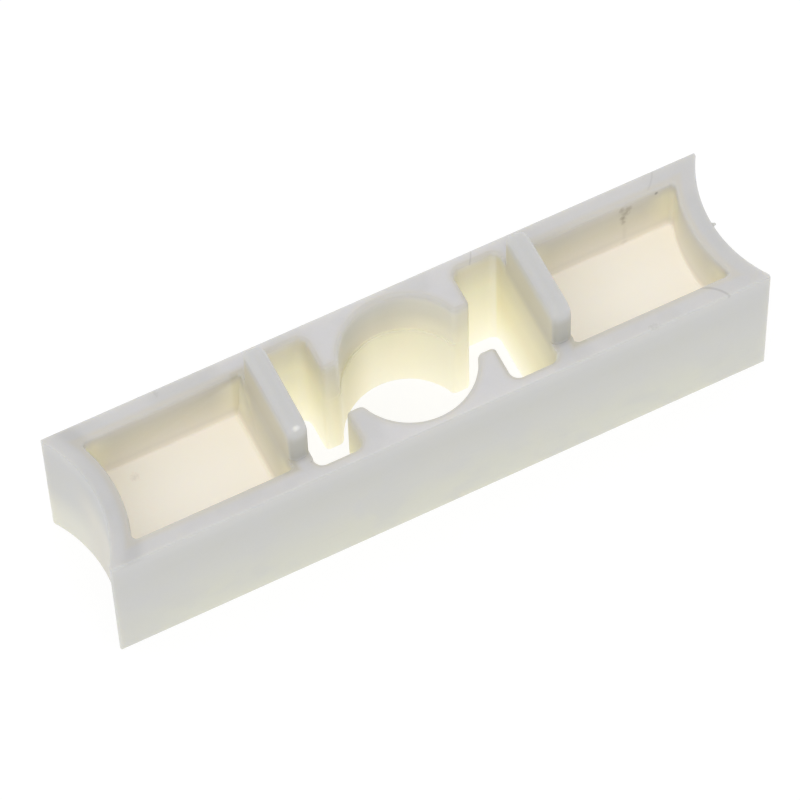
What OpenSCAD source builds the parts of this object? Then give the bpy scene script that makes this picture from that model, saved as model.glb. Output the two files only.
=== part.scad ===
// Sliding door guide: a moulded plastic block with concave ends, blind pockets,
// two through slots joined by a channel to the centre opening, and two tabs.
// Millimetres. Z is up, X runs along the block, and the origin is at the middle
// of the flat base.

/* [Block] */
// Overall length, from horn tip to horn tip
body_l = 100; // [92:1:140]
// Width across the two long sliding faces
body_w = 22.5; // [22:0.5:30]
// Height of the block without its tabs
body_h = 23.5; // [16:0.5:40]
// Rounding of the four long edges
edge_r = 0.4; // [0.2:0.1:0.8]

/* [Concave ends] */
// Radius of the hollow in each end
scoop_r = 20; // [16:0.5:40]
// Width of the blunt tip left on each horn
horn_flat = 0.5; // [0.3:0.1:1.5]

/* [Pockets] */
// Wall between a pocket and the long sides or the hollow end
wall = 3; // [1.5:0.1:4]
// Thickness of the web between the upper and the lower pockets
web_t = 2.3; // [1.5:0.1:6]
// Draft of the pocket walls, in degrees
draft = 1; // [0:0.25:2]
// How far the inner pocket wall leans out between its mouth and the web
inner_lean = 1; // [0:0.1:2]

/* [Centre opening, slots and channel] */
// Radius of the centre opening's two round ends, above its step
opening_r = 9.3; // [7:0.1:9.8]
// Distance between the centres of those round ends, across the block
opening_spread = 1.2; // [0:0.1:2]
// Width of the step inside the centre opening
step_w = 0.2; // [0.05:0.05:0.4]
// Depth of the step below the top face
step_depth = 9.4; // [4:0.1:14]
// Width of each through slot along the block
slot_w = 7.1; // [4:0.1:8]
// Length of each through slot across the block
slot_l = 19.1; // [12:0.1:20]
// Rounding of the slot corners
slot_corner_r = 0.8; // [0.3:0.1:1.5]
// Width of the channel that joins the centre opening to the slots
channel_w = 7.3; // [4:0.1:8]
// Rounding of the four wall tips beside the slots
tip_slot_r = 0.5; // [0.2:0.1:0.8]
// Rounding of the four wall tips beside the centre opening
tip_opening_r = 0.8; // [0.2:0.1:1.2]

/* [Cross walls and tabs] */
// Distance between the middles of the two cross walls
cross_pitch = 39.8; // [38:0.1:44]
// Thickness of each cross wall, and of the tab on it
cross_t = 3; // [2.6:0.1:4]
// Height of the tabs above the block
tab_h = 8.1; // [3:0.1:12]
// Length of each tab across the block
tab_l = 15; // [10:0.1:18]
// Rounding of the tab's two upper corners, seen from the end of the block
tab_corner_r = 2.2; // [1:0.1:3]
// Rounding of the tab's upright edges
tab_edge_r = 0.6; // [0.3:0.1:1.1]
// Rounding of the tab's two long upper edges
tab_crest_r = 1.2; // [0.3:0.1:1.2]

/* [Hidden] */
$fn = 96;

// Extra length on every cut that breaks through a face
over = 1;
half_l = body_l / 2;
half_w = body_w / 2;
top_z = body_h;

// The hollow end starts where the blunt horn tip stops
horn_y = half_w - horn_flat;
scoop_x = half_l + sqrt(scoop_r * scoop_r - horn_y * horn_y);

// A pocket runs from the cross wall to a wall that is parallel to the hollow end
pocket_depth = (body_h - web_t) / 2;
pocket_half_w = half_w - wall;
pocket_wall_r = scoop_r + wall;
pocket_in_x = (cross_pitch + cross_t) / 2;
draft_run = pocket_depth * tan(draft);

// The slots lie against the inner sides of the cross walls
slot_out_x = (cross_pitch - cross_t) / 2;
slot_in_x = slot_out_x - slot_w;
channel_y = channel_w / 2;

// The centre opening is a little longer across the block than along it
opening_y = opening_spread / 2;
lower_r = opening_r - step_w;

// Overlap of two arcs that follow each other, so that they cross and don't just touch
arc_lap = 0.002;
// A cut that starts inside the opening starts at this share of its radius
inside_share = 0.9;

// How far a tab's solid reaches down into its cross wall
tab_foot = cross_t / 3;

// Rectangle with round corners, centred on the origin
module round_rect(size_x, size_y, r) {
    square([size_x, size_y - 2 * r], center = true);
    square([size_x - 2 * r, size_y], center = true);
    for (sx = [-1, 1], sy = [-1, 1])
        translate([sx * (size_x / 2 - r), sy * (size_y / 2 - r)])
            circle(r = r);
}

// Runs a plan outline up the whole block and past both faces
module through_cut() {
    translate([0, 0, -over])
        linear_extrude(height = body_h + 2 * over)
            children();
}

// Copies its children to both ends of the block
module both_ends() {
    for (turn = [0, 180])
        rotate([0, 0, turn])
            children();
}

// The block before anything is cut out of it, with its long edges rounded
module blank() {
    translate([-half_l, 0, body_h / 2])
        rotate([90, 0, 90])
            linear_extrude(height = body_l)
                round_rect(body_w, body_h, edge_r);
}

// Side outline of one upper pocket: the inner wall leans out towards the web
module pocket_side() {
    polygon([
        [pocket_in_x, top_z + over],
        [pocket_in_x, top_z],
        [pocket_in_x + inner_lean, top_z - pocket_depth],
        [half_l + over, top_z - pocket_depth],
        [half_l + over, top_z + over]
    ]);
}

// End outline of one upper pocket: the long walls draw together by the draft
module pocket_end() {
    polygon([
        [-pocket_half_w, top_z + over],
        [-pocket_half_w, top_z],
        [draft_run - pocket_half_w, top_z - pocket_depth],
        [pocket_half_w - draft_run, top_z - pocket_depth],
        [pocket_half_w, top_z],
        [pocket_half_w, top_z + over]
    ]);
}

// The wall that one pocket leaves behind the hollow end, as a drafted drum that
// runs past the pocket's floor and mouth
module pocket_drum() {
    translate([scoop_x, 0, top_z - pocket_depth - over])
        cylinder(
            h = pocket_depth + 2 * over,
            r1 = pocket_wall_r + (pocket_depth + over) * tan(draft),
            r2 = pocket_wall_r - over * tan(draft)
        );
}

// One upper pocket at the +X end
module pocket() {
    difference() {
        intersection() {
            translate([0, body_w / 2, 0])
                rotate([90, 0, 0])
                    linear_extrude(height = body_w)
                        pocket_side();
            rotate([90, 0, 90])
                linear_extrude(height = half_l)
                    pocket_end();
        }
        pocket_drum();
    }
}

// The same pocket seen from below
module lower_pocket() {
    translate([0, 0, body_h])
        mirror([0, 0, 1])
            pocket();
}

// Corner of one wall tip at the slot: what the rounding takes away. The cut
// starts inside the channel, so that no edge of it lies along the channel wall
module tip_slot_corner() {
    difference() {
        translate([slot_in_x - tip_slot_r, channel_y - over])
            square([2 * tip_slot_r, tip_slot_r + over]);
        translate([slot_in_x - tip_slot_r, channel_y + tip_slot_r])
            circle(r = tip_slot_r);
    }
}

// Corner of one wall tip at the opening's lower part: what the rounding takes away
module tip_opening_corner() {
    // Both heights are measured from the centre of the opening's round end
    round_y = channel_y + tip_opening_r - opening_y;
    edge_y = channel_y - opening_y;
    round_x = sqrt(pow(lower_r + tip_opening_r - arc_lap, 2) - round_y * round_y);
    inside = inside_share * lower_r / (lower_r + tip_opening_r);
    translate([0, opening_y])
        difference() {
            polygon([
                [round_x * inside, round_y * inside],
                [round_x * inside, edge_y - over],
                [round_x, edge_y - over],
                [round_x, round_y]
            ]);
            translate([round_x, round_y])
                circle(r = tip_opening_r);
        }
}

// Plan outline of the centre opening: two round ends of radius r
module opening_plan(r) {
    for (sy = [-1, 1])
        translate([0, sy * opening_y])
            circle(r = r);
}

// Plan outline of the slots, of the channel between them and of the rounded tips
module slot_plan() {
    square([2 * slot_in_x + slot_w, channel_w], center = true);
    for (sx = [-1, 1])
        translate([sx * (slot_in_x + slot_w / 2), 0])
            round_rect(slot_w, slot_l, slot_corner_r);
    for (mx = [0, 1], my = [0, 1])
        mirror([mx, 0])
            mirror([0, my]) {
                tip_slot_corner();
                tip_opening_corner();
            }
}

// The slots, the channel and the centre opening, which is wider above its step
module centre_cut() {
    through_cut() {
        slot_plan();
        opening_plan(lower_r);
    }
    translate([0, 0, top_z - step_depth])
        linear_extrude(height = step_depth + over)
            opening_plan(opening_r);
}

// One tab on its cross wall: three rounded outlines that cross each other
module tab() {
    tab_z = top_z - tab_foot;
    tall = tab_h + tab_foot;
    translate([cross_pitch / 2, 0, tab_z])
        intersection() {
            linear_extrude(height = tall)
                round_rect(cross_t, tab_l, tab_edge_r);
            translate([-cross_t / 2, 0, 0])
                rotate([90, 0, 90])
                    linear_extrude(height = cross_t)
                        translate([0, tall / 2 - tab_corner_r])
                            round_rect(tab_l, tall + 2 * tab_corner_r, tab_corner_r);
            translate([0, tab_l / 2, 0])
                rotate([90, 0, 0])
                    linear_extrude(height = tab_l)
                        translate([0, tall / 2 - tab_crest_r])
                            round_rect(cross_t, tall + 2 * tab_crest_r, tab_crest_r);
        }
}

// The whole moulding
module guide_block() {
    color([0.80, 0.79, 0.77]) {
        difference() {
            blank();
            both_ends() {
                translate([scoop_x, 0, -over])
                    cylinder(h = body_h + 2 * over, r = scoop_r);
                pocket();
                lower_pocket();
            }
            centre_cut();
        }
        both_ends() tab();
    }
}

guide_block();
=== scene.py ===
# %% [markdown]
# # A moulded sliding door guide
# The object is one block of natural white plastic that keeps a sliding door in its
# track. It is hollowed at both ends, cored with blind pockets, cut through by two
# slots and an oval centre opening, and it has two upright tabs.
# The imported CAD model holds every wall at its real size, but its edges are knife
# sharp, and no moulding has such edges. So the block is modelled again here from the
# same sizes, with the soft edges that a mould leaves, the small faults and marks of
# this one block, and the finish of slightly translucent plastic.

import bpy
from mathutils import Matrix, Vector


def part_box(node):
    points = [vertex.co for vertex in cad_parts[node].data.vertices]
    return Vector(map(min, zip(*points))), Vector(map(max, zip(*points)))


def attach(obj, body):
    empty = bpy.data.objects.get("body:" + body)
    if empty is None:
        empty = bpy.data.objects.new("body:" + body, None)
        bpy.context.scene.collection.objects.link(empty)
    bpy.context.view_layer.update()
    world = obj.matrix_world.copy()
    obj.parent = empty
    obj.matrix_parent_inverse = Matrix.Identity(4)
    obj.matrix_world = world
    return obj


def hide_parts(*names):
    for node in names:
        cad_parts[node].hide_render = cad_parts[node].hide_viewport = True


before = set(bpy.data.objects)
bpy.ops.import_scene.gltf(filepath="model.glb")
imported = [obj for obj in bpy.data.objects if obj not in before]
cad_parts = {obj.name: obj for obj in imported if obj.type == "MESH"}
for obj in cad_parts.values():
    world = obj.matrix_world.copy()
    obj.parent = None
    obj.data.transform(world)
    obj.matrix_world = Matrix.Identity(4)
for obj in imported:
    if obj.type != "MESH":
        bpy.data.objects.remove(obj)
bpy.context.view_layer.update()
print("packed nodes:", sorted(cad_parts))

# %% Names used all through the script
import math

import bpy
from mathutils import Matrix, Vector

MM = 0.001
block_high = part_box("guide_block")[1]
half_length = block_high[0]
half_width = block_high[1]


def mm(length):
    """A length as text, in millimetres."""
    return f"{length / MM:.3f} mm"


print("half length", mm(half_length), "and half width", mm(half_width))

# %% [markdown]
# ## Where the top face is
# The tabs are the highest part of the block, so its box doesn't say how high the top
# face lies. The ends of the block have no tab on them, and so the highest point there
# is the flat top face.

# %% Measure the top face
END_ZONE = 5 * MM
cad_points = [v.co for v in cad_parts["guide_block"].data.vertices]
top_z = max(point.z for point in cad_points if point.x > half_length - END_ZONE)
tab_top = block_high[2]
print("top face at", mm(top_z), "and tabs up to", mm(tab_top))

# %% [markdown]
# ## Helpers for modelling
# Most steps below select a few edges or points by their place and then run an
# operator on them, as one would with the mouse. An operator acts on all that is
# selected, so each helper first deselects everything. Holes are cut with the Boolean
# modifier: a cutter is modelled as a solid of the hole's shape and taken away from
# the block.

# %% Select one object, and select parts of its mesh
def select_only(thing):
    """Deselect everything, then select this object and make it the active one."""
    if bpy.context.object and bpy.context.object.mode == "EDIT":
        bpy.ops.object.mode_set(mode="OBJECT")
    bpy.ops.object.select_all(action="DESELECT")
    thing.select_set(True)
    bpy.context.view_layer.objects.active = thing


def edit(thing, wanted, mode="VERT"):
    """Open an object in edit mode with just the wanted points or edges selected."""
    select_only(thing)
    bpy.ops.object.mode_set(mode="EDIT")
    bpy.ops.mesh.select_mode(type=mode)
    bpy.ops.mesh.select_all(action="DESELECT")
    bpy.ops.object.mode_set(mode="OBJECT")
    points = thing.data.vertices
    if mode == "VERT":
        for point in points:
            point.select = wanted(point.co)
    else:
        for edge in thing.data.edges:
            edge.select = wanted(*(points[i].co for i in edge.vertices))
    bpy.ops.object.mode_set(mode="EDIT")


# %% Add the two basic solids
def add_block(name, low, high):
    """A box between two corners, with its place in its mesh."""
    low, high = Vector(low), Vector(high)
    bpy.ops.object.select_all(action="DESELECT")
    bpy.ops.mesh.primitive_cube_add(size=1, location=(low + high) / 2, scale=high - low)
    bpy.context.object.name = name
    bpy.ops.object.transform_apply(location=True, rotation=True, scale=True)
    return bpy.context.object


def add_drum(name, centre, low_z, high_z, low_radius, high_radius, sides):
    """A round solid that stands on low_z, and can taper."""
    bpy.ops.object.select_all(action="DESELECT")
    bpy.ops.mesh.primitive_cone_add(
        vertices=sides, radius1=low_radius, radius2=high_radius, depth=high_z - low_z,
        location=(centre[0], centre[1], (low_z + high_z) / 2),
    )
    bpy.context.object.name = name
    bpy.ops.object.transform_apply(location=True, rotation=True, scale=True)
    return bpy.context.object


# %% Cut, join and mirror
def combine(target, tool, operation):
    """Join or subtract one solid with the Boolean modifier, and delete the tool."""
    step = target.modifiers.new("combine", "BOOLEAN")
    step.operation = operation
    step.solver = "EXACT"
    step.object = tool
    select_only(target)
    bpy.ops.object.modifier_apply(modifier=step.name)
    bpy.data.objects.remove(tool)


def mirror(thing, across, middle=None):
    """Copy a solid to the other side of the block, along the named axes."""
    step = thing.modifiers.new("mirror", "MIRROR")
    step.use_axis = ["X" in across, "Y" in across, "Z" in across]
    step.use_mirror_merge = False
    step.mirror_object = middle
    select_only(thing)
    bpy.ops.object.modifier_apply(modifier=step.name)


# %% [markdown]
# ## The block and its hollow ends
# The blank is a plain bar. Each end is hollowed by a round cut whose centre lies
# outside the block, so that two pointed horns are left. Only a narrow blunt tip of
# each horn reaches the full length, and that tip fixes where the centre of the
# round cut has to be.

# %% Bar with hollow ends
OVER = 1 * MM
SCOOP_RADIUS = 20 * MM
HORN_FLAT = 0.5 * MM
SCOOP_SIDES = 320

scoop_x = half_length + math.sqrt(SCOOP_RADIUS ** 2 - (half_width - HORN_FLAT) ** 2)
body = add_block("guide_body", (-half_length, -half_width, 0), (half_length, half_width, top_z))
scoop = add_drum("scoop", (scoop_x, 0), -OVER, top_z + OVER, SCOOP_RADIUS, SCOOP_RADIUS, SCOOP_SIDES)
mirror(scoop, "X")
combine(body, scoop, "DIFFERENCE")
print("hollow ends centred at", mm(scoop_x), "and faces so far", len(body.data.polygons))

# %% [markdown]
# ## The four blind pockets
# A thick block of plastic would sink in as it cools, so the ends are cored from above
# and from below, and a thin web is left between the two pockets. The pocket walls
# have a draft, so that the block leaves the mould, and the wall next to the tab leans
# more. The cutter is a box whose floor is made smaller, less the drum that leaves an
# even wall behind the hollow end. Its upright edges are rounded as well. The drum has
# narrow faces, and a rounding that is wider than a face would fold over, so the narrow
# faces next to a corner are first joined into one. The cutter is modelled once and
# mirrored three times.

# %% One pocket cutter
WALL = 3 * MM
WEB = 2.3 * MM
DRAFT = math.radians(1)
INNER_LEAN = 1 * MM
POCKET_START = 21.4 * MM

pocket_depth = (top_z - WEB) / 2
pocket_floor = top_z - pocket_depth
pocket_half = half_width - WALL
pocket = add_block(
    "pocket", (POCKET_START, -pocket_half, pocket_floor), (half_length, pocket_half, top_z))
edit(pocket, lambda p: p.z < pocket_floor + OVER)
narrower = 1 - pocket_depth * math.tan(DRAFT) / pocket_half
bpy.ops.transform.resize(value=(1, narrower, 1), center_override=(0, 0, 0))
edit(pocket, lambda p: p.z < pocket_floor + OVER and p.x < half_length - OVER)
bpy.ops.transform.translate(value=(INNER_LEAN, 0, 0))
edit(pocket, lambda a, b: min(a.z, b.z) > pocket_floor + OVER, "EDGE")
bpy.ops.mesh.select_mode(type="FACE")
bpy.ops.mesh.extrude_region_move(TRANSFORM_OT_translate={"value": (0, 0, OVER)})
bpy.ops.object.mode_set(mode="OBJECT")
print("pocket floor at", mm(pocket_floor))

# %% Leave an even wall behind the hollow end
drum_radius = SCOOP_RADIUS + WALL
pocket_drum = add_drum(
    "drum", (scoop_x, 0), pocket_floor - OVER, top_z + 2 * OVER,
    drum_radius + (pocket_depth + OVER) * math.tan(DRAFT),
    drum_radius - 2 * OVER * math.tan(DRAFT), SCOOP_SIDES)
combine(pocket, pocket_drum, "DIFFERENCE")
print("end wall of the pocket on a radius of", mm(drum_radius))

# %% Find the upright edges of the cutter
POCKET_CORNER = 1 * MM
CORNER_ZONE = 2.6 * MM
SIDE_SLIP = 0.005 * MM


def at_side(p):
    """Whether a point of the cutter lies on one of its long sides, which lean inwards."""
    down = min(max((top_z - p.z) / pocket_depth, 0), 1)
    side = pocket_half * (1 + down * (narrower - 1))
    return abs(abs(p.y) - side) < SIDE_SLIP


def upright_edge(a, b):
    """An edge that runs down the cutter. It leans a little, so it isn't quite upright."""
    return abs(a.z - b.z) > 0.2 * OVER and (a - b).xy.length < OVER


def corner_edge(a, b):
    """An upright edge between a long side and an end of the cutter."""
    return upright_edge(a, b) and at_side(a) and at_side(b)


def narrow_face_edge(a, b):
    """An upright edge of the drum that stands next to a corner."""
    near = min(abs(a.y), abs(b.y)) > pocket_half - CORNER_ZONE and min(a.x, b.x) > half_length / 2
    return upright_edge(a, b) and near and not corner_edge(a, b)


# %% Round them
ONE_SPOT = 0.001 * MM
CORNER_STEPS = 8


def round_edges(thing, wanted, radius, steps=CORNER_STEPS):
    """Round the wanted edges of a solid."""
    edit(thing, wanted, "EDGE")
    bpy.ops.mesh.bevel(offset=radius, segments=steps, profile=0.5, clamp_overlap=False)
    bpy.ops.object.mode_set(mode="OBJECT")


edit(pocket, lambda p: True)
bpy.ops.mesh.remove_doubles(threshold=ONE_SPOT)
edit(pocket, narrow_face_edge, "EDGE")
bpy.ops.mesh.dissolve_edges(use_verts=True)
round_edges(pocket, corner_edge, POCKET_CORNER)
print("pocket cutter with round corners:", len(pocket.data.polygons), "faces")

# %% Mirror the cutter to all four places and cut
bpy.ops.object.empty_add(location=(0, 0, top_z / 2))
block_middle = bpy.context.object
mirror(pocket, "XZ", block_middle)
bpy.data.objects.remove(block_middle)
combine(body, pocket, "DIFFERENCE")
print("pockets as deep as", mm(pocket_depth), "and faces so far", len(body.data.polygons))

# %% [markdown]
# ## Slots, channel and centre opening
# One cut runs through the middle of the block: an oval opening, a slot on either side
# of it, and a channel that joins all three. Four wall tips are left between them, and
# they are rounded in plan. It is easiest to round them on the cutter, where they are
# inside corners. The opening is a little wider above a fine step in its wall, so the
# same cutter is made twice, once for each width.

# %% Plan sizes of the centre cut
SLOT_OUTER = 18.4 * MM
SLOT_INNER = 11.3 * MM
SLOT_HALF = 9.55 * MM
SLOT_CORNER = 1.4 * MM
CHANNEL_HALF = 3.65 * MM
OPENING_RADIUS = 9.3 * MM
OPENING_SHIFT = 0.6 * MM
OPENING_SIDES = 180
STEP_WIDTH = 0.2 * MM
STEP_DEPTH = 9.4 * MM
TIP_AT_SLOT = 0.7 * MM
TIP_AT_OPENING = 0.6 * MM

# %% Choose and round the upright edges of that cutter
HAIR = 0.01 * MM


def plumb(a, b):
    """Whether an edge stands exactly upright."""
    return abs(a.z - b.z) > OVER and (a - b).xy.length < HAIR


def round_upright(thing, wanted, radius):
    """Round the upright edges of a solid that stand at the wanted places."""
    round_edges(thing, lambda a, b: plumb(a, b) and wanted(a), radius)


def clear_of_tips(thing, corner):
    """Take away the upright edges of the opening that stand too close to a tip."""
    def too_close(a, b):
        gap = math.dist((abs(a.x), abs(a.y)), corner)
        return plumb(a, b) and HAIR < gap < 2 * TIP_AT_OPENING

    edit(thing, too_close, "EDGE")
    bpy.ops.mesh.dissolve_edges(use_verts=True)
    bpy.ops.object.mode_set(mode="OBJECT")


# %% Make the cutter for one width of the opening
SAME_PLANE = math.radians(0.3)


def centre_cutter(radius, low_z, high_z):
    """Opening, channel and both slots as one solid with rounded corners."""
    cutter = add_block(
        "centre_cut", (-SLOT_OUTER, -SLOT_HALF, low_z), (-SLOT_INNER, SLOT_HALF, high_z))
    mirror(cutter, "X")
    channel_end = (SLOT_INNER + SLOT_OUTER) / 2
    channel = add_block(
        "channel", (-channel_end, -CHANNEL_HALF, low_z), (channel_end, CHANNEL_HALF, high_z))
    combine(cutter, channel, "UNION")
    for side in (-1, 1):
        centre = (0, side * OPENING_SHIFT)
        drum = add_drum("opening", centre, low_z, high_z, radius, radius, OPENING_SIDES)
        combine(cutter, drum, "UNION")
    edit(cutter, lambda p: True)
    bpy.ops.mesh.remove_doubles(threshold=ONE_SPOT)
    bpy.ops.mesh.dissolve_limited(angle_limit=SAME_PLANE)
    bpy.ops.object.mode_set(mode="OBJECT")

    corner_x = math.sqrt(radius ** 2 - (CHANNEL_HALF - OPENING_SHIFT) ** 2)
    clear_of_tips(cutter, (corner_x, CHANNEL_HALF))
    at_channel = CHANNEL_HALF + HAIR
    in_slot = SLOT_INNER - OVER
    round_upright(cutter, lambda p: abs(p.y) > at_channel and abs(p.x) > in_slot, SLOT_CORNER)
    round_upright(cutter, lambda p: abs(p.y) < at_channel and abs(p.x) > in_slot, TIP_AT_SLOT)
    round_upright(cutter, lambda p: abs(p.y) < at_channel and abs(p.x) < in_slot, TIP_AT_OPENING)
    return cutter


# %% Cut below the step, then above it
step_z = top_z - STEP_DEPTH
lower_cut = centre_cutter(OPENING_RADIUS - STEP_WIDTH, -OVER, step_z + OVER)
combine(body, lower_cut, "DIFFERENCE")
upper_cut = centre_cutter(OPENING_RADIUS, step_z, top_z + OVER)
combine(body, upper_cut, "DIFFERENCE")
print("step in the opening at", mm(step_z), "and faces so far", len(body.data.polygons))

# %% [markdown]
# ## The two tabs
# A tab stands on each cross wall, flush with both of its faces. It is a flat tongue
# with a round crest, round upper corners and softer upright edges, so one width of
# bevel won't do. The corners are rounded first. Then the Bevel modifier rounds the
# whole front and back outline, and a weight on each edge sets how much: little at the
# foot and more towards the crest.

# %% One tab
CROSS_INNER = SLOT_OUTER
CROSS_OUTER = POCKET_START
cross_middle = (CROSS_INNER + CROSS_OUTER) / 2
TAB_HALF = 7.5 * MM
TAB_FOOT = 1 * MM
TAB_CORNER = 2.2 * MM
TAB_UPRIGHT_EDGE = 0.95 * MM
TAB_CREST = 1.2 * MM
TAB_CORNER_STEPS = 12
TAB_EDGE_STEPS = 6

tab = add_block(
    "tab", (CROSS_INNER, -TAB_HALF, top_z - TAB_FOOT), (CROSS_OUTER, TAB_HALF, tab_top))
round_edges(
    tab, lambda a, b: min(a.z, b.z) > top_z and abs(a.x - b.x) > OVER, TAB_CORNER, TAB_CORNER_STEPS)
print("tab with round corners:", len(tab.data.polygons), "faces")

# %% Round its outline, more at the crest than at the foot
def bevel_by_weight(thing, width, steps):
    """Round each edge by the width times the weight that is stored on it."""
    step = thing.modifiers.new("rounding", "BEVEL")
    step.limit_method = "WEIGHT"
    step.width = width
    step.segments = steps
    step.use_clamp_overlap = False
    select_only(thing)
    bpy.ops.object.modifier_apply(modifier=step.name)


outline_weight = tab.data.attributes.new("bevel_weight_edge", "FLOAT", "EDGE")
for edge in tab.data.edges:
    a, b = (tab.data.vertices[i].co for i in edge.vertices)
    on_outline = abs(a.x - b.x) < HAIR and max(a.z, b.z) > top_z
    if on_outline:
        rise = ((a.z + b.z) / 2 - (tab_top - TAB_CORNER)) / TAB_CORNER
        share = min(max(rise, 0), 1)
        rounding = TAB_UPRIGHT_EDGE + share * (TAB_CREST - TAB_UPRIGHT_EDGE)
        outline_weight.data[edge.index].value = rounding / TAB_CREST
bevel_by_weight(tab, TAB_CREST, TAB_EDGE_STEPS)
tab.data.attributes.remove(tab.data.attributes["bevel_weight_edge"])
mirror(tab, "X")
combine(body, tab, "UNION")
print("tabs joined:", len(body.data.polygons), "faces")

# %% [markdown]
# ## Cut lines that keep the faces tidy
# The top face and the base are now single faces with holes in them, and Blender has
# to bridge such a face with long thin edges. A bevel slides its new points along the
# edges that it meets, so long thin ones make spikes. A few straight cuts across the
# whole block, where nothing changes shape, give the bevel short square edges instead.

# %% Cut across the block and clean its faces
HORN_ZONE = 48 * MM


def cut_through(place, direction):
    """Cut every face along a plane, and mark the cut so that later steps keep it."""
    bpy.ops.mesh.select_all(action="SELECT")
    bpy.ops.mesh.bisect(plane_co=place, plane_no=direction)
    bpy.ops.mesh.mark_seam(clear=False)


edit(body, lambda p: True)
bpy.ops.mesh.remove_doubles(threshold=ONE_SPOT)
cut_through((0, 0, 0), (1, 0, 0))
cut_through((0, 0, 0), (0, 1, 0))
for side in (-1, 1):
    cut_through((side * HORN_ZONE, 0, 0), (1, 0, 0))
    cut_through((side * cross_middle, 0, 0), (1, 0, 0))
bpy.ops.mesh.select_all(action="SELECT")
bpy.ops.mesh.dissolve_limited(angle_limit=SAME_PLANE, delimit={"SEAM"})
bpy.ops.object.mode_set(mode="OBJECT")
skin = body.data
print("faces:", len(skin.polygons), "largest has", max(len(p.vertices) for p in skin.polygons), "corners")

# %% [markdown]
# ## Soft edges
# On the real block the rims of the slots and of the centre opening are clearly
# rounder than the rest. One bevel can round all edges at once and still give each its
# own radius: it multiplies its width by a weight that is stored on the edge. So the
# sharp edges are found by the angle between their faces, and each gets a weight by
# its place.
# Where a wide and a narrow rounding meet, the bevel can leave two points on one spot or
# push one a hundredth of a millimetre past the base. They are merged and pressed back
# afterwards, so that the block keeps its exact size.

# %% Radius for each place
RIM_CENTRE = 0.65 * MM
RIM_POCKET = 0.5 * MM
OUTER_EDGE = 0.25 * MM
BASE_EDGE = 0.12 * MM
HORN_EDGE = 0.14 * MM
POCKET_FLOOR = 0.25 * MM
NEAR = 0.02 * MM


# %% Choose the radius of an edge by its place
def edge_radius(a, b):
    """The rounding of the sharp edge between two points of the skin."""
    middle = (a + b) / 2
    away = (abs(middle.x), abs(middle.y))
    level = abs(a.z - b.z) < NEAR
    if away[0] > HORN_ZONE:
        return HORN_EDGE
    if middle.z > top_z + NEAR:
        return 0
    at_rim = level and (abs(middle.z - top_z) < NEAR or abs(middle.z) < NEAR)
    to_hollow = Vector((away[0] - scoop_x, away[1])).length
    if at_rim and (away[1] > half_width - NEAR or to_hollow < SCOOP_RADIUS + OVER):
        return OUTER_EDGE if middle.z > NEAR else BASE_EDGE
    on_cross_wall = CROSS_INNER - NEAR < away[0] < CROSS_OUTER + NEAR
    if at_rim and middle.z > NEAR and on_cross_wall and away[1] < SLOT_HALF - SLOT_CORNER:
        return 0
    if at_rim and away[0] < CROSS_INNER + NEAR:
        return RIM_CENTRE
    if at_rim:
        return RIM_POCKET
    if away[0] < CROSS_INNER + NEAR:
        return 0
    return POCKET_FLOOR if level else 0


# %% Weigh the edges and bevel them
SHARP = math.radians(28)
SOFT_STEPS = 4

edit(body, lambda a, b: False, "EDGE")
bpy.ops.mesh.edges_select_sharp(sharpness=SHARP)
bpy.ops.object.mode_set(mode="OBJECT")

softness = skin.attributes.new("bevel_weight_edge", "FLOAT", "EDGE")
rounded = 0
for edge in skin.edges:
    if edge.select:
        a, b = (skin.vertices[i].co for i in edge.vertices)
        softness.data[edge.index].value = edge_radius(a, b) / RIM_CENTRE
        rounded += 1
bevel_by_weight(body, RIM_CENTRE, SOFT_STEPS)
print(rounded, "sharp edges rounded:", len(skin.vertices), "points,", len(skin.polygons), "faces")

# %% Merge what lies on one spot, and press the base and the top face flat again
RIM_SLIP = 0.02 * MM

edit(body, lambda p: True)
bpy.ops.mesh.remove_doubles(threshold=5 * ONE_SPOT)
for level, outward in ((0, -1), (top_z, 1)):
    edit(body, lambda p: 0 < (p.z - level) * outward < RIM_SLIP and abs(p.x) > CROSS_OUTER)
    bpy.ops.transform.resize(value=(1, 1, 0), center_override=(0, 0, level))
    bpy.ops.object.mode_set(mode="OBJECT")
print("lowest point at", mm(min(v.co.z for v in skin.vertices)))

# %% [markdown]
# ## A burr on one end
# This block has one flaw that changes its outline: a small burr stands out from the
# upper edge of the right hollow end, where the plastic was trimmed badly. A tiny bar
# with its free end drawn to a point is joined to the edge, and stays part of the one
# solid.

# %% Burr at the right hollow end
BURR_X = 46.8 * MM
BURR_HALF = 0.55 * MM
BURR_REACH = 0.5 * MM
BURR_HEIGHT = 0.4 * MM
BURR_DROP = 0.3 * MM
BURR_POINT = (1, 0.25, 0.3)

burr_low_z = top_z - BURR_HEIGHT - BURR_DROP
burr = add_block(
    "burr", (BURR_X - BURR_REACH, -BURR_HALF, burr_low_z),
    (BURR_X + BURR_REACH, BURR_HALF, burr_low_z + BURR_HEIGHT))
edit(burr, lambda p: p.x > BURR_X)
bpy.ops.transform.resize(value=BURR_POINT, center_override=(0, -BURR_HALF / 2, top_z))
bpy.ops.object.mode_set(mode="OBJECT")
combine(body, burr, "UNION")
print("burr reaches", mm(BURR_X + BURR_REACH), "and faces in all", len(skin.polygons))

# %% Smooth shading that keeps the flat faces flat
SMOOTH_BELOW = math.radians(35)

select_only(body)
bpy.ops.object.shade_smooth_by_angle(angle=SMOOTH_BELOW)
flatten = body.modifiers.new("flat_faces", "WEIGHTED_NORMAL")
flatten.keep_sharp = True
bpy.ops.object.modifier_apply(modifier="flat_faces")

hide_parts("guide_block")
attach(body, "root")
print(body.name, "takes the place of guide_block")

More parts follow.
